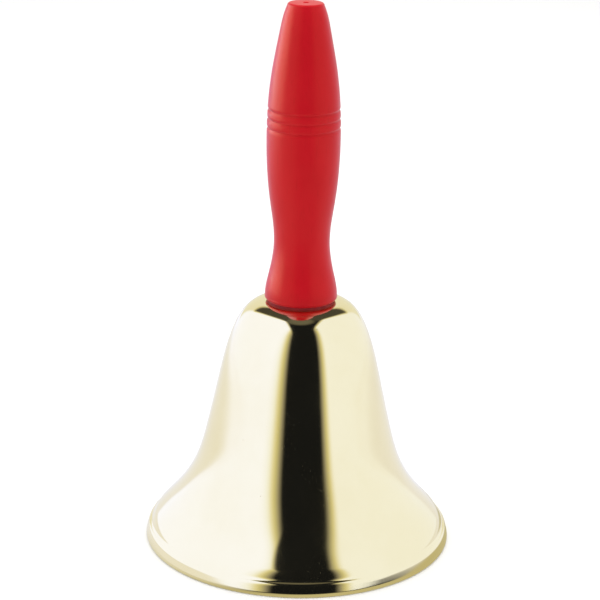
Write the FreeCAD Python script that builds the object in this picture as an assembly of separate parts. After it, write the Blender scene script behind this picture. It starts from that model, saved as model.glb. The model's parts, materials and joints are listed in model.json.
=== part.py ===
"""Hand-rung warning bell: a spun brass bell under a turned, lacquered handle.

Millimetres, +Z up.  The bell stands on its rim, which lies in z = 0, and the
origin is the centre of the mouth.  Each function builds one piece and returns
its solid; the table at the end gives every piece its file name.
"""
import FreeCAD, Part
import math
import os

from FreeCAD import Vector

# Bell shell
MOUTH_R = 60.0            # outside radius of the lip
BELL_H = 97.5             # rim plane to the flat crown
WALL = 1.2                # spun sheet
CROWN_FLAT_R = 13.2       # flat seat for the handle
FLARE_FOOT_R = 55.5       # where the flare starts to round over towards the rim
FLARE_FOOT_Z = 9.4
NECK_R = 57.25            # steepest place between the flare and the rim's ledge
NECK_Z = 6.54
LEDGE_R = 58.36           # middle of the rounded ledge
LEDGE_Z = 5.22
BAND_OUT = 0.71           # band's top edge, in from the mouth's outside radius
BAND_TOP_Z = 4.0
HEM_T = 2.4               # folded rim, two sheets thick
HEM_TOP = 2.4
LIP_H = 1.9               # height of the rounded lip below the band
LIP_ROUND = 0.8
BULGE = 1 - math.sqrt(0.5)   # middle of a quarter round, as a share of its radius

# Handle
HANDLE_L = 114.6
HANDLE_R = 14.0           # widest, where the palm sits
FOOT_R = 13.9
WAIST_R = 10.7
TIP_R = 6.9               # where the sides meet the rounded top edge
TIP_ROUND = 0.9
FOOT_ROUND = 1.1          # the foot's rounded edge: how far in, and how far up
FOOT_ROUND_H = 1.7
GROOVE_STEPS = (40.0, 43.5, 47.0)   # three turned rings, down from the top
GROOVE_R = 0.8
GROOVE_DEPTH = 0.45
DIMPLE_R = 1.1            # lathe-centre mark in the top
BORE_DEPTH = 24.0

# Clamping stack on the axis, from the handle down
BASE_WASHER_T = 0.8
BASE_WASHER_R = 13.0
STUD_R = 3.0              # M6
SPIGOT_R = 2.5            # turned down for the swivel
INSERT_R = 4.5
INSERT_L = 18.0
INSERT_RIB = 0.4
CROWN_WASHER_R = 9.0
CROWN_WASHER_T = 1.2
LOCK_WASHER_R = 5.4
LOCK_WASHER_T = 1.6
LOCK_WASHER_GAP = 1.0
CLAMP_NUT_AF = 10.0
CLAMP_NUT_H = 5.0
SHOULDER_BELOW_NUT = 1.5
FIT = 0.06                # radial running clearance of a pin or spigot
END_PLAY = 0.15           # axial play each side of a turning piece

# Swivelling yoke that the clapper hangs in
YOKE_T = 1.6
YOKE_HALF_GAP = 6.5
YOKE_BEND_R = 1.3         # inside radius
EAR_R = 5.0               # half the strip's width
THRUST_WASHER_R = 5.0
THRUST_WASHER_T = 0.8
PIVOT_DROP = 8.6          # yoke's underside to the clapper's pivot
PIN_R = 2.0
PIN_HEAD_R = 3.4
PIN_HEAD_T = 1.3
PIN_TAIL = 3.2            # pin past the outside of the ear
PIN_WASHER_R = 3.9
PIN_WASHER_T = 0.6

# Retaining clips: thickness, groove depth and outside radius over shaft radius
CLIP_T = 0.7
CLIP_GROOVE = 0.5
CLIP_OVER = 2.2
CLIP_MOUTH = 0.86         # mouth's half width as a share of the groove's radius
CLIP_RELIEF_R = 0.75
CLIP_RELIEF_OUT = 0.35

# Clapper
ROD_R = 2.4
ROD_END_R = 2.0           # threaded end through the ball
EYE_R = 5.2
EYE_T = 5.0
BUSH_R = 3.0
SPACER_R = 4.3
BALL_R = 11.0
BALL_Z = 16.5             # centre of the ball over the rim plane
BALL_SEAT_R = 4.6         # flat under the rod's shoulder
BALL_SINK_R = 5.6         # counterbore for the nut
BALL_SINK_DEPTH = 4.6
BALL_NUT_AF = 7.0
BALL_NUT_H = 3.2
BALL_WASHER_R = 4.4
BALL_WASHER_T = 0.8

# Levels along the axis
INNER_CROWN_Z = BELL_H - WALL
FOOT_Z = BELL_H + BASE_WASHER_T
TOP_Z = FOOT_Z + HANDLE_L
LOCK_WASHER_Z = INNER_CROWN_Z - CROWN_WASHER_T
CLAMP_NUT_Z = LOCK_WASHER_Z - LOCK_WASHER_T
SHOULDER_Z = CLAMP_NUT_Z - CLAMP_NUT_H - SHOULDER_BELOW_NUT
YOKE_TOP_Z = SHOULDER_Z - END_PLAY
YOKE_UNDER_Z = YOKE_TOP_Z - YOKE_T
THRUST_WASHER_Z = YOKE_UNDER_Z - END_PLAY
SWIVEL_CLIP_Z = THRUST_WASHER_Z - THRUST_WASHER_T
PIVOT_Z = YOKE_UNDER_Z - PIVOT_DROP
EAR_OUT = YOKE_HALF_GAP + YOKE_T


def rz(radius, height):
    """Point of a profile in the plane that is turned about the axis."""
    return Vector(radius, 0, height)


def yz(across, height):
    """Point of a profile that is extruded along X."""
    return Vector(0, across, height)


def line(start, end):
    return Part.LineSegment(start, end).toShape()


def arc(start, middle, end):
    return Part.Arc(start, middle, end).toShape()


def spline(points, start_slope, end_slope):
    curve = Part.BSplineCurve()
    curve.interpolate(Points=points, InitialTangent=start_slope, FinalTangent=end_slope)
    return curve


def polyline(points):
    return [line(a, b) for a, b in zip(points, points[1:])]


def turned(edges, notches=()):
    """Solid made by turning a closed profile about Z, less a round notch at each place given."""
    face = Part.Face(Part.Wire(edges))
    for centre, radius in notches:
        rim = Part.makeCircle(radius, centre, Vector(0, 1, 0))
        face = face.cut(Part.Face(Part.Wire([rim]))).Faces[0]
    return face.revolve(Vector(0, 0, 0), Vector(0, 0, 1), 360)


def rod(radius, low, high):
    return Part.makeCylinder(radius, high - low, Vector(0, 0, low))


def tube(outer, inner, low, high):
    return rod(outer, low, high).cut(rod(inner, low, high))


def softened(solid, size, level):
    """Chamfer the round edges that lie at one level."""
    rims = [e for e in solid.Edges if isinstance(e.Curve, Part.Circle)
            and abs(e.Vertexes[0].Point.z - level) < 1e-6 and len(e.Vertexes) == 1]
    return solid.makeChamfer(size, rims)


def hexagon(across_flats, low, high):
    corner = across_flats / math.sqrt(3)
    points = [Vector(corner * math.cos(math.radians(60 * i)), corner * math.sin(math.radians(60 * i)), low)
              for i in range(7)]
    return Part.Face(Part.makePolygon(points)).extrude(Vector(0, 0, high - low))


def nut(across_flats, bore, low, high):
    """Hexagon nut with both ends chamfered to a circle."""
    corner = across_flats / math.sqrt(3)
    bevel = corner - across_flats / 2 * 0.96
    drop = bevel * math.tan(math.radians(30))
    blank = turned(polyline([rz(0, low), rz(corner - bevel, low), rz(corner, low + drop),
                             rz(corner, high - drop), rz(corner - bevel, high), rz(0, high), rz(0, low)]))
    return hexagon(across_flats, low, high).common(blank).cut(rod(bore, low, high))


def clip(shaft, low):
    """Spring clip for a groove round a shaft on the Z axis, open towards +X."""
    groove = shaft - CLIP_GROOVE
    body = tube(shaft + CLIP_OVER, groove, low, low + CLIP_T)
    half = groove * CLIP_MOUTH
    mouth = Part.makeBox(shaft + CLIP_OVER, 2 * half, CLIP_T, Vector(0, -half, low))
    for angle in (65, 180, 295):
        out = Vector(math.cos(math.radians(angle)), math.sin(math.radians(angle)), 0)
        middle = out * (shaft + CLIP_RELIEF_OUT) + Vector(0, 0, low)
        body = body.cut(Part.makeCylinder(CLIP_RELIEF_R, CLIP_T, middle))
    return body.cut(mouth)


def along_y(solid, origin):
    """Turn a piece built on +Z so that it lies along +Y from the origin given."""
    solid.rotate(Vector(0, 0, 0), Vector(1, 0, 0), -90)
    solid.translate(origin)
    return solid


def bell_outline():
    """Outside of the wall, from the foot of the flare up to the flat crown."""
    return spline([rz(FLARE_FOOT_R, FLARE_FOOT_Z), rz(48.1, 18.0), rz(40.9, 30.0), rz(36.0, 46.0),
                   rz(31.5, 66.0), rz(27.4, 82.0), rz(24.4, 89.3), rz(20.5, 94.6), rz(CROWN_FLAT_R, BELL_H)],
                  rz(-0.87, 1), rz(-1, 0))


def inside_of(curve, wall, steps):
    """Curve that runs one wall thickness inside an outline, sampled evenly along it."""
    points = []
    for i in range(steps + 1):
        at = curve.FirstParameter + (curve.LastParameter - curve.FirstParameter) * i / steps
        tangent = curve.tangent(at)[0]
        inward = Vector(-abs(tangent.z), 0, -abs(tangent.x))
        points.append(curve.value(at) + inward * wall)
    return spline(points, curve.tangent(curve.FirstParameter)[0], curve.tangent(curve.LastParameter)[0])


def rim_outside(foot):
    """Flare rounded over to a neck, a shallow cove, the rounded ledge, the rim band and the lip."""
    neck = rz(NECK_R, NECK_Z)
    ledge = rz(LEDGE_R, LEDGE_Z)
    band_top = rz(MOUTH_R - BAND_OUT, BAND_TOP_Z)
    band_low = rz(MOUTH_R - 0.15, LIP_H)
    lip = rz(MOUTH_R, LIP_ROUND)
    return [arc(foot, rz(NECK_R - 0.76, NECK_Z + 1.51), neck),
            arc(neck, rz(NECK_R + 0.45, NECK_Z - 0.75), ledge),
            arc(ledge, rz(LEDGE_R + 0.58, LEDGE_Z - 0.52), band_top),
            line(band_top, band_low),
            arc(band_low, rz(MOUTH_R - 0.04, LIP_H - 0.54), lip),
            arc(lip, rz(MOUTH_R - LIP_ROUND * BULGE, LIP_ROUND * BULGE), rz(MOUTH_R - LIP_ROUND, 0))]


def rim_inside(foot):
    """Under the lip and up the inside of the folded rim to the foot of the wall."""
    hem = MOUTH_R - HEM_T
    return [line(rz(MOUTH_R - LIP_ROUND, 0), rz(hem + LIP_ROUND, 0)),
            arc(rz(hem + LIP_ROUND, 0), rz(hem + LIP_ROUND * BULGE, LIP_ROUND * BULGE), rz(hem, LIP_ROUND)),
            line(rz(hem, LIP_ROUND), rz(hem, HEM_TOP)),
            arc(rz(hem, HEM_TOP), rz(NECK_R - 1.05, NECK_Z - 1.04), foot)]


def bell_shell():
    outer = bell_outline()
    inner = inside_of(outer, WALL, 24)
    crown = [line(rz(CROWN_FLAT_R, BELL_H), rz(STUD_R, BELL_H)),
             line(rz(STUD_R, BELL_H), rz(STUD_R, INNER_CROWN_Z)),
             line(rz(STUD_R, INNER_CROWN_Z), inner.value(inner.LastParameter))]
    edges = [outer.toShape(), inner.toShape()] + crown
    edges += rim_outside(outer.value(outer.FirstParameter)) + rim_inside(inner.value(inner.FirstParameter))
    return turned(Part.__sortEdges__(edges))


def radius_at(curve, level):
    """Radius of a profile curve at one height."""
    cut = Part.LineSegment(rz(0, level), rz(MOUTH_R, level))
    return curve.intersect(cut)[0].X


def handle():
    side = spline([rz(FOOT_R, FOOT_Z + FOOT_ROUND_H), rz(12.5, FOOT_Z + 10.2), rz(WAIST_R, FOOT_Z + 22.7),
                   rz(12.5, FOOT_Z + 39.7), rz(HANDLE_R, FOOT_Z + 62.7), rz(12.6, FOOT_Z + 86.7),
                   rz(9.6, FOOT_Z + 103.7), rz(TIP_R, TOP_Z - TIP_ROUND)],
                  rz(0, 1), rz(-0.45, 1))
    top_r = TIP_R - TIP_ROUND
    foot_in = FOOT_R - FOOT_ROUND
    edges = [side.toShape(),
             arc(rz(TIP_R, TOP_Z - TIP_ROUND), rz(TIP_R - 0.36, TOP_Z - 0.22), rz(top_r, TOP_Z)),
             line(rz(top_r, TOP_Z), rz(0, TOP_Z)),
             line(rz(0, TOP_Z), rz(0, FOOT_Z)),
             line(rz(0, FOOT_Z), rz(foot_in, FOOT_Z)),
             arc(rz(foot_in, FOOT_Z), rz(FOOT_R - 0.3, FOOT_Z + 0.35), rz(FOOT_R, FOOT_Z + FOOT_ROUND_H))]
    levels = [TOP_Z - drop for drop in GROOVE_STEPS]
    grooves = [(rz(radius_at(side, z) + GROOVE_R - GROOVE_DEPTH, z), GROOVE_R) for z in levels]
    body = turned(Part.__sortEdges__(edges), grooves)
    dimple = Part.makeCone(0, DIMPLE_R, DIMPLE_R, Vector(0, 0, TOP_Z - DIMPLE_R))
    bore = rod(INSERT_R, FOOT_Z, FOOT_Z + BORE_DEPTH)
    return body.cut(dimple).cut(bore)


def base_washer():
    return tube(BASE_WASHER_R, STUD_R, BELL_H, FOOT_Z)


def handle_insert():
    """Threaded bush driven into the handle, with barbs that bite the wood."""
    low = FOOT_Z
    high = FOOT_Z + INSERT_L
    pitch = INSERT_L / 6
    points = [rz(STUD_R, low), rz(INSERT_R, low)]
    for i in range(1, 6):
        level = low + pitch * i
        points += [rz(INSERT_R - INSERT_RIB, level), rz(INSERT_R, level)]
    points += [rz(INSERT_R - INSERT_RIB, high), rz(STUD_R, high), rz(STUD_R, low)]
    return turned(polyline(points))


def hanger_stud():
    """Threaded stud that clamps the bell to the handle and carries the swivel."""
    tail = SWIVEL_CLIP_Z - CLIP_T - 1.0
    groove = rz(SPIGOT_R - CLIP_GROOVE, SWIVEL_CLIP_Z)
    top = FOOT_Z + INSERT_L - 1.0
    return turned(polyline([
        rz(0, top), rz(STUD_R - 0.6, top), rz(STUD_R, top - 0.6), rz(STUD_R, SHOULDER_Z),
        rz(SPIGOT_R, SHOULDER_Z), rz(SPIGOT_R, groove.z), groove, rz(groove.x, groove.z - CLIP_T),
        rz(SPIGOT_R, groove.z - CLIP_T), rz(SPIGOT_R, tail + 0.5), rz(SPIGOT_R - 0.5, tail), rz(0, tail),
        rz(0, top)]))


def crown_washer():
    blank = tube(CROWN_WASHER_R, STUD_R, LOCK_WASHER_Z, INNER_CROWN_Z)
    return softened(blank, 0.25, LOCK_WASHER_Z)


def lock_washer():
    """Split spring washer, clamped flat."""
    ring = tube(LOCK_WASHER_R, STUD_R, CLAMP_NUT_Z, LOCK_WASHER_Z)
    gap = Part.makeBox(LOCK_WASHER_R, LOCK_WASHER_GAP, LOCK_WASHER_T, Vector(0, 0, CLAMP_NUT_Z))
    gap.rotate(Vector(0, 0, CLAMP_NUT_Z + LOCK_WASHER_T / 2), Vector(1, 0, 0), 25)
    return ring.cut(gap)


def clamp_nut():
    return nut(CLAMP_NUT_AF, STUD_R, CLAMP_NUT_Z - CLAMP_NUT_H, CLAMP_NUT_Z)


def clapper_yoke():
    """Strip bent into a stirrup: a flat top that turns on the spigot, two ears for the pin."""
    outer_r = YOKE_BEND_R + YOKE_T
    top = YOKE_TOP_Z
    under = YOKE_UNDER_Z
    low = PIVOT_Z - EAR_R

    def outline(half, level, bend):
        side = half - bend
        turn = bend * BULGE
        foot = level - bend
        return [line(yz(-half, low), yz(-half, foot)),
                arc(yz(-half, foot), yz(turn - half, level - turn), yz(-side, level)),
                line(yz(-side, level), yz(side, level)),
                arc(yz(side, level), yz(half - turn, level - turn), yz(half, foot)),
                line(yz(half, foot), yz(half, low))]

    edges = outline(EAR_OUT, top, outer_r) + outline(YOKE_HALF_GAP, under, YOKE_BEND_R)
    edges += [line(yz(side * YOKE_HALF_GAP, low), yz(side * EAR_OUT, low)) for side in (-1, 1)]
    strip = Part.Face(Part.Wire(Part.__sortEdges__(edges))).extrude(Vector(2 * EAR_R, 0, 0))
    strip.translate(Vector(-EAR_R, 0, 0))
    width = 2 * EAR_OUT
    ends = along_y(Part.makeCylinder(EAR_R, width), Vector(0, -EAR_OUT, PIVOT_Z))
    above = Part.makeBox(2 * EAR_R, width, top - PIVOT_Z, Vector(-EAR_R, -EAR_OUT, PIVOT_Z))
    pin_hole = along_y(Part.makeCylinder(PIN_R, width), Vector(0, -EAR_OUT, PIVOT_Z))
    return strip.common(ends.fuse(above)).cut(pin_hole).cut(rod(SPIGOT_R + FIT, under, top))


def thrust_washer():
    return tube(THRUST_WASHER_R, SPIGOT_R, SWIVEL_CLIP_Z, THRUST_WASHER_Z)


def swivel_clip():
    return clip(SPIGOT_R, SWIVEL_CLIP_Z - CLIP_T)


def pivot_pin():
    """Clevis pin with a round head and a groove for its clip, head towards +Y."""
    tail = -EAR_OUT - PIN_TAIL
    groove = -EAR_OUT - PIN_WASHER_T
    head = EAR_OUT + PIN_HEAD_T
    stem = [rz(0, tail), rz(PIN_R - 0.4, tail), rz(PIN_R, tail + 0.4), rz(PIN_R, groove - CLIP_T),
            rz(PIN_R - CLIP_GROOVE, groove - CLIP_T), rz(PIN_R - CLIP_GROOVE, groove), rz(PIN_R, groove),
            rz(PIN_R, EAR_OUT), rz(PIN_HEAD_R, EAR_OUT), rz(PIN_HEAD_R, head - 0.5)]
    crown = rz(PIN_HEAD_R - 1.4, head)
    shape = turned(polyline(stem) + [arc(stem[-1], rz(PIN_HEAD_R - 0.5, head - 0.1), crown)]
                   + polyline([crown, rz(0, head), stem[0]]))
    return along_y(shape, Vector(0, 0, PIVOT_Z))


def pin_washer():
    return along_y(tube(PIN_WASHER_R, PIN_R, -EAR_OUT - PIN_WASHER_T, -EAR_OUT), Vector(0, 0, PIVOT_Z))


def pin_clip():
    return along_y(clip(PIN_R, -EAR_OUT - PIN_WASHER_T - CLIP_T), Vector(0, 0, PIVOT_Z))


def clapper_rod():
    """Forged eye and round rod, turned down below a shoulder for the ball."""
    seat = math.sqrt(BALL_R ** 2 - BALL_SEAT_R ** 2)
    shoulder = BALL_Z + seat
    end = BALL_Z - BALL_R + 1.0
    shank = turned(polyline([
        rz(0, PIVOT_Z), rz(ROD_R, PIVOT_Z), rz(ROD_R, shoulder + 2.2), rz(BALL_SEAT_R - 0.9, shoulder + 1.2),
        rz(BALL_SEAT_R - 0.9, shoulder), rz(ROD_END_R, shoulder), rz(ROD_END_R, end + 0.4),
        rz(ROD_END_R - 0.4, end), rz(0, end), rz(0, PIVOT_Z)]))
    eye = Part.makeCylinder(EYE_R, EYE_T)
    eye = eye.makeFillet(0.9, [e for e in eye.Edges if len(e.Vertexes) == 1])
    eye = along_y(eye, Vector(0, -EYE_T / 2, PIVOT_Z))
    hole = along_y(Part.makeCylinder(BUSH_R, EYE_T), Vector(0, -EYE_T / 2, PIVOT_Z))
    return shank.fuse(eye).cut(hole).removeSplitter()


def pivot_bush():
    half = YOKE_HALF_GAP - 2 * END_PLAY
    return along_y(tube(BUSH_R, PIN_R + FIT, -half, half), Vector(0, 0, PIVOT_Z))


def eye_spacers():
    """Fibre rings either side of the eye that keep the clapper in the middle."""
    start = EYE_T / 2
    end = YOKE_HALF_GAP - 3 * END_PLAY
    rings = [tube(SPACER_R, BUSH_R, start, end), tube(SPACER_R, BUSH_R, -end, -start)]
    return Part.makeCompound([along_y(ring, Vector(0, 0, PIVOT_Z)) for ring in rings])


def clapper_ball():
    """Turned ball, flat where the rod's shoulder seats, with a sunk nut below."""
    seat = math.sqrt(BALL_R ** 2 - BALL_SEAT_R ** 2)
    ball = Part.makeSphere(BALL_R, Vector(0, 0, BALL_Z))
    cap = rod(BALL_SEAT_R, BALL_Z + seat, BALL_Z + BALL_R)
    bottom = BALL_Z - BALL_R
    sink = rod(BALL_SINK_R, bottom, bottom + BALL_SINK_DEPTH)
    return ball.cut(cap).cut(sink).cut(rod(ROD_END_R, bottom, BALL_Z + BALL_R))


def ball_washer():
    top = BALL_Z - BALL_R + BALL_SINK_DEPTH
    return tube(BALL_WASHER_R, ROD_END_R, top - BALL_WASHER_T, top)


def ball_nut():
    top = BALL_Z - BALL_R + BALL_SINK_DEPTH - BALL_WASHER_T
    return nut(BALL_NUT_AF, ROD_END_R, top - BALL_NUT_H, top)


PIECES = (handle, handle_insert, base_washer, bell_shell, crown_washer, lock_washer, clamp_nut, hanger_stud,
          thrust_washer, swivel_clip, clapper_yoke, pivot_pin, pin_washer, pin_clip, clapper_rod, pivot_bush,
          eye_spacers, clapper_ball, ball_washer, ball_nut)

os.makedirs("parts", exist_ok=True)
for piece in PIECES:
    shape = piece()
    shape.exportStep("parts/" + piece.__name__ + ".step")
    print(f"{piece.__name__:14s} solids {len(shape.Solids)} volume {shape.Volume:9.1f} "
          f"z {shape.BoundBox.ZMin:7.2f} {shape.BoundBox.ZMax:7.2f} valid {shape.isValid()}")
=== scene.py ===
import json
import math

import bpy
import numpy as np
from mathutils import Euler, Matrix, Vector

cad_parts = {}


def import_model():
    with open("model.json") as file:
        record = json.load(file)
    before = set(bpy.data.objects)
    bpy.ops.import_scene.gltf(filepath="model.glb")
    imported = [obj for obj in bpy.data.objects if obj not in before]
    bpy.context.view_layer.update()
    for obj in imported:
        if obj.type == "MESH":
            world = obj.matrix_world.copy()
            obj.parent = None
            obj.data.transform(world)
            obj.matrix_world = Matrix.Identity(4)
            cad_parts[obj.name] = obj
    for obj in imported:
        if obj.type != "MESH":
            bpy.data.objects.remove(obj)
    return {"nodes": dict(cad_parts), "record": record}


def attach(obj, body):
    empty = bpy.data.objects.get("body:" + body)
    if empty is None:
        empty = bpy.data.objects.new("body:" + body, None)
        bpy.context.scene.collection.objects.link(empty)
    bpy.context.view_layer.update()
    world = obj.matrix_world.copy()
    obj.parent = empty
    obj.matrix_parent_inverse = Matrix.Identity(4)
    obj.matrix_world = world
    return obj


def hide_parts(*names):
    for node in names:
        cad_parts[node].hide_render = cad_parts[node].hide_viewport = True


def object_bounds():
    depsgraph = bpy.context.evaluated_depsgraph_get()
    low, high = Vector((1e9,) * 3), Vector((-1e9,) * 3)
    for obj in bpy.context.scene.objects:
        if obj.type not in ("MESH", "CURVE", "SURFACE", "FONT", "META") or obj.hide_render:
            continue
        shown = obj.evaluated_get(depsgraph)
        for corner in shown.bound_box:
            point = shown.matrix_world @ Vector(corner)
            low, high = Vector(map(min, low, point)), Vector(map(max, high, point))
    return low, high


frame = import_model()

MM = 0.001
cad_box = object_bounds()
scene = bpy.context.scene

# Camera: distance from the bell's axis, height over the rim plane, aim in degrees, lens in millimetres
CAMERA_DISTANCE = 755 * MM
CAMERA_HEIGHT = 350 * MM
CAMERA_SIDE = -0.3 * MM
CAMERA_PITCH = 18.5
CAMERA_ROLL = 1.0
LENS = 123.8
SENSOR = 36.0
CLIP_START = 0.01
CLIP_END = 50.0

# Bell shell, in millimetres: the same outline as the CAD model's
MOUTH_R = 60.0
BELL_H = 97.5
WALL = 1.2
CROWN_FLAT_R = 13.2
FLARE_FOOT = (55.5, 9.4)
FLARE_TO_CROWN = ((48.1, 18.0), (40.9, 30.0), (36.0, 46.0), (31.5, 66.0), (27.4, 82.0), (24.4, 89.3), (20.5, 94.6))
FLARE_START = (-0.87, 1)
CROWN_END = (-1, 0)
OUTLINE_STEPS = 110
NECK = (57.25, 6.54)
LEDGE = (58.36, 5.22)
BAND_OUT = 0.71
BAND_TOP_Z = 4.0
BAND_LEAN = 0.15
HEM_T = 2.4
HEM_TOP = 2.4
LIP_H = 1.9
LIP_ROUND = 0.8
STUD_R = 3.0
BULGE = 1 - math.sqrt(0.5)

# Middle points of the rim's arcs, each from a corner of its arc
FOOT_ARC = (-0.76, 1.51)
COVE_ARC = (0.45, -0.75)
LEDGE_ARC = (0.58, -0.52)
LIP_ARC = (-0.04, -0.54)
HEM_ARC = (-1.05, -1.04)

# Handle, in millimetres; the side's points are (radius, height over the foot)
FOOT_Z = 98.3
TOP_Z = 212.9
FOOT_R = 13.9
WAIST_R = 10.7
PALM_R = 14.0
TIP_R = 6.9
TIP_ROUND = 0.9
GRIP_SIDE = ((12.5, 10.2), (WAIST_R, 22.7), (12.5, 39.7), (PALM_R, 62.7), (12.6, 86.7), (9.6, 103.7))
GRIP_START = (0, 1)
GRIP_END = (-0.45, 1)
GRIP_STEPS = 460
FOOT_ROUND = 1.1
FOOT_ROUND_H = 1.7
FOOT_ARC_MIDDLE = (-0.3, 0.35)
TIP_ARC_MIDDLE = (-0.36, -0.22)
GROOVE_STEPS = (40.0, 43.5, 47.0)
GROOVE_DEPTH = 0.42
GROOVE_HALF = 0.55
DIMPLE_R = 1.1
DIMPLE_EDGE = 0.3
DIMPLE_MIDDLE_DROP = 0.1
DIMPLE_SHOULDER = (-0.25, -0.35)
BORE_R = 4.5
BORE_DEPTH = 24.0
SEGMENTS = 224

# Studio: a soft panel on each side, a low pale backdrop behind, a faint light overhead, dark in front.
# Edges are measured on a wall one unit away: along it towards the back, and up. SOFT is half a change's width.
LEFT_FRONT = -2.15
LEFT_SOFT = 1.20
LEFT_TOP = 3.6
LEFT_TOP_SOFT = 0.45
LEFT_LIGHT = 1.12
RIGHT_FRONT = -1.50
RIGHT_SOFT = 0.45
RIGHT_TOP = 2.55
RIGHT_TOP_SOFT = 0.35
RIGHT_LIGHT = 1.0
PANEL_LEAN = 0.13
PANEL_BACK = 1.75
PANEL_BACK_SOFT = 0.22
PANEL_SLANT = 0.476
BACKDROP_TOP = 0.66
BACKDROP_SOFT = 0.10
BACKDROP_LIGHT = 0.88
BACK_GLOW = 0.06
BACK_GLOW_SPAN = (-0.04, 0.20)
OVERHEAD_LIGHT = 0.14
OVERHEAD_SPAN = (0.945, 0.99)
DARK = 0.004
FILL_LIGHT = 0.85
FILL_EVEN = 0.6
FILL_FULL_LEVEL = 1.1
FILL_COLOUR = (1.0, 0.99, 0.97, 1.0)
WHITE = (1.0, 1.0, 1.0, 1.0)
NEVER_ZERO = 0.001

# What polished metal mirrors at each light level. The ramp holds 0 to 1, so levels and colours are scaled to fit.
MIRROR_TINTS = ((0.0, (0.004, 0.005, 0.008)), (0.3, (0.30, 0.28, 0.22)), (0.66, (0.66, 0.62, 0.36)),
                (0.83, (0.835, 0.81, 0.60)), (1.0, (0.995, 1.056, 1.276)), (1.15, (1.08, 1.18, 1.76)))
TINT_LEVEL_SCALE = 0.8
TINT_COLOUR_SCALE = 0.5

# Lights: where, how wide and how strong, in metres and watts
LIGHT_AIM = (0, 0, 0.15)
OVERHEAD_LAMP = ((0.0, 0.30, 1.6), 1.8, 20.0)
GRIP_LAMP = ((-0.75, 0.16, 0.22), 0.9, 8.0)

# Floor: its size, then its painted reflection, the glowing colours that polished metal sees in place of the lit
# table, painted dark in front and with painted shadow near the rim and behind. RAY spans are measured like the
# panels' edges,
# REACH spans from the bell's axis, and the painted shadow's from its own centre.
FLOOR_FRONT = 450 * MM
FLOOR_BACK = 1300 * MM
FLOOR_HALF = 1300 * MM
# Painted shadow colour: the contact shadow next to the rim and the shadow behind the bell, painted into the floor's
# reflection.
FLOOR_PAINTED_SHADOW = (0.58, 0.54, 0.35)
FLOOR_MIDDLE = (0.90, 0.92, 1.04)
FLOOR_FAR_LEFT = (1.05, 1.13, 1.60)
FLOOR_FAR_RIGHT = (0.98, 1.03, 1.22)
# Painted dark reflection in front of the bell and at the right front, in place of the lit table; FLOOR_RIGHT spans
# set where it is painted.
FLOOR_PAINTED_DARK = (0.010, 0.010, 0.012)
FLOOR_RIGHT_RAY = (-1.0, -0.1)
FLOOR_RIGHT_REACH = (350 * MM, 600 * MM)
FLOOR_RIGHT_FRONT_RAY = (-1.9, -1.0)
FLOOR_FAR_SPLIT = (-50 * MM, 50 * MM)
FLOOR_FAR_REACH = (320 * MM, 700 * MM)
# Painted shadow in the reflection of the table behind the bell.
FLOOR_BEHIND_SHADOW_RAY = (2.2, 5.0)
FLOOR_BEHIND_SHADOW_SHARE = 0.5
SHADOW_CENTRE = (12 * MM, -6 * MM)
SHADOW_REACH = (57 * MM, 80 * MM)
AXIS_GAP = 0.1 * MM
PAPER_TONES = (0.93, 0.95)


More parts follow.
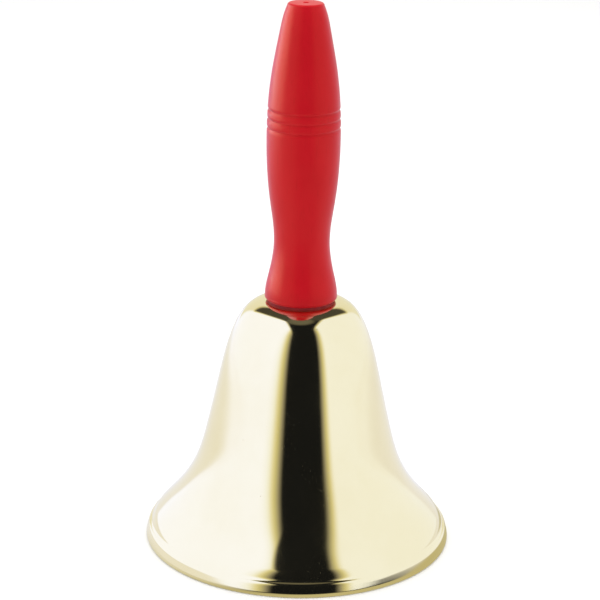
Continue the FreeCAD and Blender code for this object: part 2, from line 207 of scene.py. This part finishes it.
class Nodes:
    """Adds shader nodes to a tree, one short call each."""

    def __init__(self, tree):
        self.tree = tree
        tree.nodes.clear()

    def add(self, kind, inputs=None, **settings):
        node = self.tree.nodes.new(kind)
        for name, value in settings.items():
            setattr(node, name, value)
        for key, value in (inputs or {}).items():
            self.put(node.inputs[key], value)
        return node

    def put(self, socket, value):
        if isinstance(value, bpy.types.NodeSocket):
            self.tree.links.new(value, socket)
        else:
            socket.default_value = value

    def math(self, operation, a, b=0.0, clamp=False):
        return self.add("ShaderNodeMath", {0: a, 1: b}, operation=operation, use_clamp=clamp).outputs[0]

    def times(self, first, *others):
        for other in others:
            first = self.math("MULTIPLY", first, other)
        return first

    def smooth(self, value, low, high, start=0.0, end=1.0):
        """Goes smoothly from start to end while the value goes from low to high."""
        inputs = {"Value": value, "From Min": low, "From Max": high, "To Min": start, "To Max": end}
        return self.add("ShaderNodeMapRange", inputs, interpolation_type="SMOOTHSTEP").outputs["Result"]

    def below(self, value, edge, soft):
        """1 where the value is under the edge, 0 over it, with a soft change between."""
        return self.smooth(value, edge - soft, edge + soft, 1.0, 0.0)

    def mix(self, factor, a, b, blend="MIX"):
        node = self.add("ShaderNodeMix", data_type="RGBA", blend_type=blend)
        for index, value in ((0, factor), (6, a), (7, b)):
            self.put(node.inputs[index], value)
        return node.outputs[2]

    def noise(self, vector, scale, detail=3.0, rough=0.5, distortion=0.0):
        inputs = {"Vector": vector, "Scale": scale, "Detail": detail,
                  "Roughness": rough, "Distortion": distortion}
        return self.add("ShaderNodeTexNoise", inputs).outputs["Fac"]

    def specks(self, vector, scale, size, left_out=0.72):
        """Sparse round dots, 1 inside each; left_out is the share of cells without one."""
        cells = self.add("ShaderNodeTexVoronoi", {"Vector": vector, "Scale": scale})
        chosen = self.add("ShaderNodeSeparateColor", {0: cells.outputs["Color"]}).outputs[0]
        dot = self.smooth(cells.outputs["Distance"], size * 0.5, size, 1.0, 0.0)
        return self.times(dot, self.math("GREATER_THAN", chosen, left_out))

    def stretched(self, vector, scale, turn=(0.0, 0.0, 0.0)):
        inputs = {"Vector": vector, "Scale": scale, "Rotation": turn}
        return self.add("ShaderNodeMapping", inputs).outputs[0]

    def vector(self, x, y, z):
        return self.add("ShaderNodeCombineXYZ", {0: x, 1: y, 2: z}).outputs[0]

    def bump(self, height, strength, distance, normal=None):
        inputs = {"Height": height, "Strength": strength, "Distance": distance}
        if normal is not None:
            inputs["Normal"] = normal
        return self.add("ShaderNodeBump", inputs).outputs[0]

    def object_place(self):
        return self.add("ShaderNodeTexCoord").outputs["Object"]

    def length(self, x, y):
        """Length of the flat vector (x, y)."""
        return self.math("SQRT", self.math("ADD", self.times(x, x), self.times(y, y)))

    def round_axis(self, place):
        """Angle round the Z axis, radius and height, in radians and metres."""
        x, y, z = self.add("ShaderNodeSeparateXYZ", {0: place}).outputs
        return self.math("ARCTAN2", y, x), self.length(x, y), z

    def surface(self, shader):
        self.add("ShaderNodeOutputMaterial", {"Surface": shader.outputs[0]})


def clamped_spline(points, start, end, steps):
    """Smooth curve through the points, with a set direction at each end."""
    knots = np.array(points, float)
    spans = np.hypot(*np.diff(knots, axis=0).T)
    count = len(knots)
    matrix = np.zeros((count, count))
    right = np.zeros((count, 2))
    matrix[0, 0] = matrix[-1, -1] = 1.0
    right[0] = np.array(start) / math.hypot(*start)
    right[-1] = np.array(end) / math.hypot(*end)
    rise = np.diff(knots, axis=0) / spans[:, None]
    for i in range(1, count - 1):
        matrix[i, i - 1:i + 2] = spans[i], 2 * (spans[i - 1] + spans[i]), spans[i - 1]
        right[i] = 3 * (spans[i] * rise[i - 1] + spans[i - 1] * rise[i])
    slopes = np.linalg.solve(matrix, right)
    curve = []
    for i, span in enumerate(spans):
        pieces = max(2, round(steps * span / spans.sum()))
        for t in np.arange(pieces) / pieces:
            near = (1 + 2 * t) * (1 - t) ** 2 * knots[i] + t * (1 - t) ** 2 * span * slopes[i]
            far = t * t * (3 - 2 * t) * knots[i + 1] + t * t * (t - 1) * span * slopes[i + 1]
            curve.append(tuple(near + far))
    return curve + [tuple(knots[-1])]


def arc(start, middle, end, steps=8):
    """Points along the circle through three points."""
    (ax, ay), (bx, by), (cx, cy) = start, middle, end
    twice = 2 * (ax * (by - cy) + bx * (cy - ay) + cx * (ay - by))
    a2, b2, c2 = ax * ax + ay * ay, bx * bx + by * by, cx * cx + cy * cy
    x = (a2 * (by - cy) + b2 * (cy - ay) + c2 * (ay - by)) / twice
    y = (a2 * (cx - bx) + b2 * (ax - cx) + c2 * (bx - ax)) / twice
    radius = math.hypot(ax - x, ay - y)
    first = math.atan2(ay - y, ax - x)
    sweep = math.remainder(math.atan2(cy - y, cx - x) - first, 2 * math.pi)
    angles = [first + sweep * i / steps for i in range(steps + 1)]
    return [(x + radius * math.cos(a), y + radius * math.sin(a)) for a in angles]


def straight(start, end, steps=1):
    """Evenly spaced points from start to end, both included."""
    return [tuple(start[k] + (end[k] - start[k]) * i / steps for k in (0, 1)) for i in range(steps + 1)]


def joined(*stretches):
    """One run of points from stretches that meet end to end."""
    points = list(stretches[0])
    for stretch in stretches[1:]:
        points += stretch[1:]
    return points


def lathe(name, profile, sharp=(), closed=False):
    """Turn a profile of (radius, height) in millimetres about Z into a smooth mesh, creased at the sharp points."""
    on_axis = 1e-6
    rings = []
    verts = []
    for radius, height in profile:
        around = 1 if radius < on_axis else SEGMENTS
        rings.append(range(len(verts), len(verts) + around))
        for i in range(around):
            angle = 2 * math.pi * i / SEGMENTS
            verts.append((radius * MM * math.cos(angle), radius * MM * math.sin(angle), height * MM))
    pairs = list(zip(rings, rings[1:]))
    if closed:
        pairs.append((rings[-1], rings[0]))
    faces = []
    for low, high in pairs:
        for i in range(SEGMENTS):
            j = (i + 1) % SEGMENTS
            corners = [low[i % len(low)], low[j % len(low)], high[j % len(high)], high[i % len(high)]]
            faces.append(tuple(dict.fromkeys(corners)))
    mesh = bpy.data.meshes.new(name)
    mesh.from_pydata(verts, [], faces)
    mesh.shade_smooth()
    creased = {tuple(sorted((rings[k][i], rings[k][(i + 1) % SEGMENTS])))
               for k in sharp for i in range(SEGMENTS)}
    flags = mesh.attributes.new("sharp_edge", "BOOLEAN", "EDGE")
    for edge, flag in zip(mesh.edges, flags.data):
        flag.value = tuple(sorted(edge.vertices)) in creased
    mesh.update()
    obj = bpy.data.objects.new(name, mesh)
    scene.collection.objects.link(obj)
    return obj


def offset(curve, distance):
    """Points one distance inside a curve that climbs from the mouth to the crown."""
    points = []
    for i, (radius, height) in enumerate(curve):
        before = curve[max(i - 1, 0)]
        after = curve[min(i + 1, len(curve) - 1)]
        along = (after[0] - before[0], after[1] - before[1])
        length = math.hypot(*along)
        points.append((radius - abs(along[1]) / length * distance,
                       height - abs(along[0]) / length * distance))
    return points


def beside(point, step):
    """The point one step away."""
    return point[0] + step[0], point[1] + step[1]


def bell_outline():
    points = [FLARE_FOOT, *FLARE_TO_CROWN, (CROWN_FLAT_R, BELL_H)]
    return clamped_spline(points, FLARE_START, CROWN_END, OUTLINE_STEPS)


def rim_outside():
    """From the foot of the flare over the neck, cove, ledge and band to the rest face."""
    band_top = (MOUTH_R - BAND_OUT, BAND_TOP_Z)
    band_low = (MOUTH_R - BAND_LEAN, LIP_H)
    lip = (MOUTH_R, LIP_ROUND)
    under = MOUTH_R - LIP_ROUND
    quarter = LIP_ROUND * BULGE
    return joined(arc(FLARE_FOOT, beside(NECK, FOOT_ARC), NECK, 16),
                  arc(NECK, beside(NECK, COVE_ARC), LEDGE, 12),
                  arc(LEDGE, beside(LEDGE, LEDGE_ARC), band_top, 12),
                  straight(band_top, band_low, 4),
                  arc(band_low, beside((MOUTH_R, LIP_H), LIP_ARC), lip),
                  arc(lip, (MOUTH_R - quarter, quarter), (under, 0.0)))


def rim_inside(foot):
    """From the rest face up the folded hem to the foot of the wall's inside."""
    hem = MOUTH_R - HEM_T
    quarter = LIP_ROUND * BULGE
    return joined(straight((MOUTH_R - LIP_ROUND, 0.0), (hem + LIP_ROUND, 0.0), 2),
                  arc((hem + LIP_ROUND, 0.0), (hem + quarter, quarter), (hem, LIP_ROUND)),
                  straight((hem, LIP_ROUND), (hem, HEM_TOP), 2),
                  arc((hem, HEM_TOP), beside(NECK, HEM_ARC), foot, 12))


def bell_shell(outside_look, inside_look):
    """Spun shell, one closed profile: rim and outside up to the stud's hole, then down the inside to the hem."""
    outer = bell_outline()
    inner = offset(outer, WALL)
    rim = rim_outside()
    hem = rim_inside(inner[0])
    crown = [(STUD_R, BELL_H), (STUD_R, BELL_H - WALL)]
    profile = rim[::-1] + outer[1:] + straight(outer[-1], crown[0], 5)[1:]
    hole = len(profile) - 1
    profile += [crown[1]] + straight(crown[1], inner[-1], 5)[1:] + inner[-2::-1]
    profile += hem[-2:0:-1]
    shell = lathe("bell_shell_turned", profile, sharp=(hole, hole + 1), closed=True)
    shell.data.materials.append(outside_look)
    shell.data.materials.append(inside_look)
    start = SEGMENTS * hole
    for polygon in shell.data.polygons:
        polygon.material_index = 1 if polygon.index >= start else 0
    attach(shell, "bell")
    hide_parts("bell_shell")


def handle(look):
    """Turned grip: the lacquer has pooled in the three rings, so their edges are soft."""
    foot = (FOOT_R, FOOT_Z + FOOT_ROUND_H)
    tip = (TIP_R, TOP_Z - TIP_ROUND)
    between = [(radius, FOOT_Z + height) for radius, height in GRIP_SIDE]
    side = clamped_spline([foot, *between, tip], GRIP_START, GRIP_END, GRIP_STEPS)
    levels = [TOP_Z - drop for drop in GROOVE_STEPS]
    grooved = []
    for radius, height in side:
        dip = sum(math.exp(-((height - level) / GROOVE_HALF) ** 2) for level in levels)
        grooved.append((radius - GROOVE_DEPTH * dip, height))
    foot_in = FOOT_R - FOOT_ROUND
    top_r = TIP_R - TIP_ROUND
    bore_top = FOOT_Z + BORE_DEPTH
    dimple_edge = (DIMPLE_R + DIMPLE_EDGE, TOP_Z)
    dimple_shoulder = beside((DIMPLE_R, TOP_Z), DIMPLE_SHOULDER)
    profile = joined([(0.0, bore_top), (BORE_R, bore_top)],
                     straight((BORE_R, bore_top), (BORE_R, FOOT_Z)),
                     straight((BORE_R, FOOT_Z), (foot_in, FOOT_Z)),
                     arc((foot_in, FOOT_Z), beside((FOOT_R, FOOT_Z), FOOT_ARC_MIDDLE), foot),
                     grooved,
                     arc(tip, beside((TIP_R, TOP_Z), TIP_ARC_MIDDLE), (top_r, TOP_Z)),
                     straight((top_r, TOP_Z), dimple_edge, 4),
                     arc(dimple_edge, (DIMPLE_R, TOP_Z - DIMPLE_MIDDLE_DROP), dimple_shoulder, 4),
                     straight(dimple_shoulder, (0.0, TOP_Z - DIMPLE_R), 3))
    grip = lathe("handle_turned", profile, sharp=(1, 2))
    grip.data.materials.append(look)
    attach(grip, "bell")
    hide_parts("handle")
    return grip


def side_panel(n, along, up, side):
    """Soft panel on one side: a leaning front edge and a top, from the side's FRONT, SOFT, TOP and TOP_SOFT."""
    front, soft, top, top_soft = side
    return n.times(n.smooth(along, front - soft, front + soft), n.below(up, top, top_soft))


def studio_level(n):
    """Light level of the studio by direction."""
    direction = n.add("ShaderNodeTexCoord").outputs["Generated"]
    x, y, z = n.add("ShaderNodeSeparateXYZ", {0: direction}).outputs
    aside = n.math("MAXIMUM", n.math("ABSOLUTE", x), NEVER_ZERO)
    along = n.math("DIVIDE", y, aside)
    up = n.math("DIVIDE", z, aside)
    above = n.math("MAXIMUM", up, 0.0)
    back = n.below(n.math("ADD", along, n.math("MULTIPLY", above, PANEL_SLANT)), PANEL_BACK, PANEL_BACK_SOFT)
    lean = n.math("MULTIPLY", above, PANEL_LEAN)
    left = side_panel(n, n.math("ADD", along, lean), up, (LEFT_FRONT, LEFT_SOFT, LEFT_TOP, LEFT_TOP_SOFT))
    left = n.times(left, back, n.math("LESS_THAN", x, 0.0))
    right = side_panel(n, n.math("SUBTRACT", along, lean), up, (RIGHT_FRONT, RIGHT_SOFT, RIGHT_TOP, RIGHT_TOP_SOFT))
    right = n.times(right, back, n.math("GREATER_THAN", x, 0.0))
    height = n.math("DIVIDE", z, n.math("MAXIMUM", y, NEVER_ZERO))
    backdrop = n.times(n.below(height, BACKDROP_TOP, BACKDROP_SOFT), n.math("GREATER_THAN", y, 0.0),
                       n.math("SUBTRACT", 1.0, back))
    level = n.math("ADD", n.times(left, LEFT_LIGHT), n.times(right, RIGHT_LIGHT))
    level = n.math("ADD", level, n.times(backdrop, BACKDROP_LIGHT))
    level = n.math("MAXIMUM", level, n.times(n.smooth(y, *BACK_GLOW_SPAN), BACK_GLOW))
    level = n.math("MAXIMUM", level, n.smooth(z, *OVERHEAD_SPAN, 0.0, OVERHEAD_LIGHT))
    return n.math("MAXIMUM", level, DARK)


def world():
    """Light by direction, so every view sees the same studio. Polished metal mirrors it in colour, other
    surfaces get an evened level of it, and the camera itself sees plain white."""
    sky = bpy.data.worlds.new("studio")
    scene.world = sky
    sky.use_nodes = True
    n = Nodes(sky.node_tree)
    level = studio_level(n)
    tint = n.add("ShaderNodeValToRGB", {0: n.math("MULTIPLY", level, TINT_LEVEL_SCALE)})
    ramp = tint.color_ramp
    while len(ramp.elements) < len(MIRROR_TINTS):
        ramp.elements.new(0.5)
    for element, (place, colour) in zip(ramp.elements, MIRROR_TINTS):
        element.position = place * TINT_LEVEL_SCALE
        element.color = (*[part * TINT_COLOUR_SCALE for part in colour], 1.0)
    mirrored = n.add("ShaderNodeBackground", {"Color": tint.outputs[0], "Strength": 1 / TINT_COLOUR_SCALE})
    spread = n.smooth(level, 0.0, FILL_FULL_LEVEL, FILL_EVEN * FILL_LIGHT, FILL_LIGHT)
    shed = n.add("ShaderNodeBackground", {"Color": FILL_COLOUR, "Strength": spread})
    plain = n.add("ShaderNodeBackground", {"Color": WHITE, "Strength": 1.0})
    path = n.add("ShaderNodeLightPath").outputs
    lit = n.add("ShaderNodeMixShader", {0: path["Is Glossy Ray"], 1: shed.outputs[0], 2: mirrored.outputs[0]})
    seen = n.add("ShaderNodeMixShader", {0: path["Is Camera Ray"], 1: lit.outputs[0], 2: plain.outputs[0]})
    n.add("ShaderNodeOutputWorld", {"Surface": seen.outputs[0]})


def camera():
    """Camera a little above the bell, which fills the height of the frame."""
    data = bpy.data.cameras.new("camera")
    data.lens = LENS
    data.sensor_width = SENSOR
    data.clip_start = CLIP_START
    data.clip_end = CLIP_END
    obj = bpy.data.objects.new("camera", data)
    scene.collection.objects.link(obj)
    obj.location = (CAMERA_SIDE, -CAMERA_DISTANCE, CAMERA_HEIGHT)
    aim = Euler((math.radians(90 - CAMERA_PITCH), 0, 0)).to_matrix()
    obj.rotation_euler = (aim @ Euler((0, 0, math.radians(CAMERA_ROLL))).to_matrix()).to_euler()
    scene.camera = obj


def soft_light(name, location, size, power):
    """Round area light aimed at the bell; no surface mirrors it unless the caller says so."""
    data = bpy.data.lights.new(name, "AREA")
    data.shape = "DISK"
    data.size = size
    data.energy = power
    obj = bpy.data.objects.new(name, data)
    scene.collection.objects.link(obj)
    obj.location = location
    obj.rotation_euler = (Vector(LIGHT_AIM) - Vector(location)).to_track_quat("-Z", "Y").to_euler()
    obj.visible_glossy = False
    return obj


def key_light(grip):
    """Large soft sheen from the left, linked to the grip alone."""
    lamp = soft_light("grip_key", *GRIP_LAMP)
    lamp.visible_glossy = True
    lamp.visible_diffuse = False
    receivers = bpy.data.collections.new("grip_key_receivers")
    receivers.objects.link(grip)
    lamp.light_linking.receiver_collection = receivers


def painted_floor_reflection(n):
    """Painted reflection of the table for polished metal, in glowing colour: painted dark in front and at the right
    front, pale at the sides, with painted shadow close to the rim and behind the bell.
    """
    x, y, _ = n.add("ShaderNodeSeparateXYZ", {0: n.object_place()}).outputs
    along = n.math("DIVIDE", y, n.math("MAXIMUM", n.math("ABSOLUTE", x), AXIS_GAP))
    reach = n.length(x, y)
    left = n.times(n.smooth(along, LEFT_FRONT - LEFT_SOFT, LEFT_FRONT + LEFT_SOFT), n.math("LESS_THAN", x, 0.0))
    right = n.math("MAXIMUM", n.smooth(along, *FLOOR_RIGHT_RAY), n.smooth(reach, *FLOOR_RIGHT_REACH))
    right = n.times(right, n.math("GREATER_THAN", x, 0.0), n.smooth(along, *FLOOR_RIGHT_FRONT_RAY))
    far = n.mix(n.smooth(x, *FLOOR_FAR_SPLIT), (*FLOOR_FAR_LEFT, 1.0), (*FLOOR_FAR_RIGHT, 1.0))
    pale = n.mix(n.smooth(reach, *FLOOR_FAR_REACH), (*FLOOR_MIDDLE, 1.0), far)
    # Painted shadow behind the bell.
    pale = n.mix(n.smooth(along, *FLOOR_BEHIND_SHADOW_RAY, 0.0, FLOOR_BEHIND_SHADOW_SHARE), pale, (*FLOOR_PAINTED_SHADOW, 1.0))
    # Painted dark where neither side is pale: in front and at the right front.
    lit = n.mix(n.math("ADD", left, right), (*FLOOR_PAINTED_DARK, 1.0), pale)
    across, ahead = (n.math("SUBTRACT", value, centre) for value, centre in zip((x, y), SHADOW_CENTRE))
    # Painted contact shadow round the rim, its centre shifted to the right.
    return n.mix(n.smooth(n.length(across, ahead), *SHADOW_REACH), (*FLOOR_PAINTED_SHADOW, 1.0), lit)


def floor():
    """Pale table top that fills the view. For polished metal it glows with the painted reflection of
    painted_floor_reflection in place of its lit paper, and it is clear from below, so the clapper can be seen."""
    level = cad_box[0].z
    outline = [(-FLOOR_HALF, FLOOR_BACK), (-FLOOR_HALF, -FLOOR_FRONT)]
    outline += [(FLOOR_HALF, -FLOOR_FRONT), (FLOOR_HALF, FLOOR_BACK)]
    mesh = bpy.data.meshes.new("floor")
    mesh.from_pydata([(x, y, level) for x, y in outline], [], [(0, 1, 2, 3)])
    plane = bpy.data.objects.new("floor", mesh)
    scene.collection.objects.link(plane)
    mat, n = material("floor_paper_painted_reflection")
    tone = n.smooth(n.noise(n.object_place(), 3.0), 0.3, 0.7, *PAPER_TONES)
    shade = n.add("ShaderNodeCombineColor", {0: tone, 1: tone, 2: tone}).outputs[0]
    paper = n.add("ShaderNodeBsdfPrincipled", {
        "Base Color": shade, "Roughness": 0.8, "Specular IOR Level": 0.1})
    # Glowing painted reflection with painted shadows, seen only by glossy rays, in place of the lit paper.
    seen = n.add("ShaderNodeEmission", {"Color": painted_floor_reflection(n), "Strength": 1.0})
    path = n.add("ShaderNodeLightPath").outputs
    top = n.add("ShaderNodeMixShader", {0: path["Is Glossy Ray"], 1: paper.outputs[0], 2: seen.outputs[0]})
    below = n.add("ShaderNodeNewGeometry").outputs["Backfacing"]
    clear = n.add("ShaderNodeBsdfTransparent")
    n.surface(n.add("ShaderNodeMixShader", {0: below, 1: top.outputs[0], 2: clear.outputs[0]}))
    mesh.materials.append(mat)


# Materials. Texture scales are per metre, so 1000 gives marks about 1 mm wide; bump distances are in metres.
# Colours, roughness ranges and strengths are each material's own and stand where they are used.


def material(name):
    """A new node material and the helper that fills it."""
    mat = bpy.data.materials.new(name)
    mat.use_nodes = True
    return mat, Nodes(mat.node_tree)


def spun_rings(n, place, pitch):
    """Faint lathe rings: noise drawn out round the axis."""
    angle, radius, height = n.round_axis(place)
    along = n.math("ADD", height, n.math("MULTIPLY", radius, -0.7))
    drawn = n.vector(n.math("MULTIPLY", angle, 0.0004), along, 0.0)
    return n.noise(drawn, 1.0 / pitch, 3.0, 0.6)


def scratches(n, place, scale, turn):
    """Thin hairlines in one direction, a few of them deep enough to show."""
    streaks = n.noise(n.stretched(place, (scale, scale * 0.04, scale), turn), 1.0, 2.0, 0.5)
    patches = n.smooth(n.noise(place, 35.0, 2.0), 0.52, 0.66)
    return n.times(n.smooth(streaks, 0.70, 0.76), patches)


def brass_polished():
    """The polished outside: faint spinning marks, a little dust, hairlines and smears."""
    mat, n = material("polished_brass")
    place = n.object_place()
    cloud = n.smooth(n.noise(place, 30.0, 4.0, 0.6), 0.32, 0.72)
    colour = n.mix(cloud, (0.915, 0.815, 0.505, 1.0), (0.895, 0.790, 0.470, 1.0))
    dust = n.specks(place, 150.0, 0.06)
    hairs = n.math("MAXIMUM", scratches(n, place, 2600.0, (0.3, 0.9, 0.2)),
                   scratches(n, place, 3100.0, (1.1, 0.2, 0.7)))
    rings = spun_rings(n, place, 0.00035)
    streaks = n.noise(n.stretched(place, (60.0, 60.0, 25.0)), 1.0, 4.0, 0.65)
    smear = n.smooth(streaks, 0.35, 0.75, 0.065, 0.10)
    rough = n.math("ADD", smear, n.math("MULTIPLY", n.math("MAXIMUM", dust, hairs), 0.25))
    bump = n.bump(rings, 0.10, 0.000012)
    bump = n.bump(n.noise(place, 45.0, 2.0), 0.12, 0.00020, bump)
    bump = n.bump(hairs, 0.12, 0.00002, bump)
    n.surface(n.add("ShaderNodeBsdfPrincipled", {
        "Base Color": colour, "Metallic": 1.0, "Roughness": rough, "Normal": bump}))
    return mat


def brass_inside():
    """The unpolished inside: spinning marks, darker patches of tarnish."""
    mat, n = material("brass_inside")
    place = n.object_place()
    patches = n.smooth(n.noise(place, 55.0, 5.0, 0.62, 0.4), 0.40, 0.68)
    colour = n.mix(patches, (0.70, 0.55, 0.27, 1.0), (0.42, 0.29, 0.12, 1.0))
    rings = spun_rings(n, place, 0.0011)
    colour = n.mix(n.smooth(rings, 0.35, 0.7, 0.0, 0.35), colour, (0.80, 0.66, 0.36, 1.0))
    rough = n.smooth(n.noise(place, 120.0, 4.0, 0.6), 0.3, 0.75, 0.28, 0.48)
    bump = n.bump(rings, 0.45, 0.00006)
    n.surface(n.add("ShaderNodeBsdfPrincipled", {
        "Base Color": colour, "Metallic": 1.0, "Roughness": rough, "Normal": bump}))
    return mat


def lacquer_red():
    """Satin red lacquer: faint grain along the handle, orange peel, a few dull specks, a warm sheen."""
    mat, n = material("red_lacquer")
    place = n.object_place()
    cloud = n.smooth(n.noise(place, 38.0, 4.0, 0.6), 0.3, 0.7)
    colour = n.mix(cloud, (0.590, 0.0030, 0.0160, 1.0), (0.630, 0.0045, 0.0185, 1.0))
    grain = n.noise(n.stretched(place, (1500.0, 1500.0, 70.0)), 1.0, 4.0, 0.55)
    colour = n.mix(n.smooth(grain, 0.55, 0.75, 0.0, 0.25), colour, (0.430, 0.002, 0.010, 1.0))
    chips = n.specks(place, 260.0, 0.06)
    rough = n.smooth(n.noise(place, 170.0, 4.0, 0.6), 0.3, 0.7, 0.29, 0.35)
    rough = n.math("ADD", rough, n.math("MULTIPLY", chips, 0.15))
    bump = n.bump(grain, 0.10, 0.00006)
    bump = n.bump(n.noise(place, 420.0, 2.0), 0.08, 0.00008, bump)
    n.surface(n.add("ShaderNodeBsdfPrincipled", {
        "Base Color": colour, "Roughness": rough, "Normal": bump, "Specular IOR Level": 0.24,
        "Specular Tint": (1.0, 0.84, 0.36, 1.0)}))
    return mat


def metal(name, light, dark, rough_low, rough_high, rings=0.0):
    """Machined or plated metal: cloudy tone, hairline scratches, fine tooling marks."""
    mat, n = material(name)
    place = n.object_place()
    cloud = n.smooth(n.noise(place, 240.0, 5.0, 0.65), 0.3, 0.7)
    colour = n.mix(cloud, (*light, 1.0), (*dark, 1.0))
    stain = n.smooth(n.noise(place, 90.0, 4.0, 0.7, 0.5), 0.60, 0.72, 0.0, 0.22)
    colour = n.mix(stain, colour, (*[part * 0.70 for part in dark], 1.0))
    hairs = scratches(n, place, 5200.0, (0.4, 0.2, 0.9))
    rough = n.smooth(n.noise(place, 520.0, 4.0, 0.6), 0.3, 0.7, rough_low, rough_high)
    rough = n.math("ADD", rough, n.math("MULTIPLY", hairs, 0.15))
    bump = n.bump(n.noise(place, 1700.0, 3.0), 0.12, 0.00004)
    bump = n.bump(hairs, 0.25, 0.00003, bump)
    if rings:
        bump = n.bump(spun_rings(n, place, rings), 0.5, 0.00004, bump)
    n.surface(n.add("ShaderNodeBsdfPrincipled", {
        "Base Color": colour, "Metallic": 1.0, "Roughness": rough, "Normal": bump}))
    return mat


def plastic(name, light, dark, rough_low, rough_high, fibre):
    """Moulded or pressed plastic; fibre under 1 draws the surface's grain out along Z."""
    mat, n = material(name)
    place = n.object_place()
    cloud = n.smooth(n.noise(place, 320.0, 4.0, 0.6), 0.3, 0.7)
    colour = n.mix(cloud, (*light, 1.0), (*dark, 1.0))
    rough = n.smooth(n.noise(place, 700.0, 4.0, 0.6), 0.3, 0.7, rough_low, rough_high)
    bump = n.bump(n.noise(n.stretched(place, (2400.0, 2400.0, 2400.0 * fibre)), 1.0, 3.0), 0.25, 0.00006)
    n.surface(n.add("ShaderNodeBsdfPrincipled", {"Base Color": colour, "Roughness": rough, "Normal": bump}))
    return mat


def dress():
    """Gives every carried-over CAD piece the look of its slot in the record."""
    looks = {
        "insert_brass": metal("insert_brass", (0.70, 0.52, 0.22), (0.60, 0.43, 0.17), 0.25, 0.40, 0.0005),
        "bush_brass": metal("bush_brass", (0.72, 0.54, 0.24), (0.62, 0.45, 0.18), 0.22, 0.36),
        "ball_brass": metal("ball_brass", (0.78, 0.64, 0.34), (0.72, 0.57, 0.28), 0.16, 0.26, 0.0006),
        "zinc_steel": metal("zinc_steel", (0.72, 0.73, 0.75), (0.60, 0.61, 0.63), 0.22, 0.40),
        "spring_steel": metal("spring_steel", (0.16, 0.16, 0.17), (0.10, 0.10, 0.11), 0.30, 0.45),
        "yoke_steel": metal("yoke_steel", (0.66, 0.67, 0.68), (0.55, 0.56, 0.57), 0.26, 0.42),
        "rod_steel": metal("rod_steel", (0.60, 0.61, 0.62), (0.48, 0.49, 0.50), 0.24, 0.40, 0.0008),
        "red_fibre": plastic("red_fibre", (0.400, 0.010, 0.018), (0.300, 0.008, 0.013), 0.55, 0.75, 0.1),
        "grey_nylon": plastic("grey_nylon", (0.55, 0.54, 0.50), (0.47, 0.46, 0.43), 0.40, 0.55, 1.0),
    }
    for entry in frame["record"]["subparts"]:
        if entry["material_slot"] not in looks:
            continue
        node = frame["nodes"][entry["node"]]
        node.data.materials.clear()
        node.data.materials.append(looks[entry["material_slot"]])


camera()
world()
soft_light("overhead_fill", *OVERHEAD_LAMP)
floor()
bell_shell(brass_polished(), brass_inside())
key_light(handle(lacquer_red()))
dress()
scene.view_settings.view_transform = "Standard"
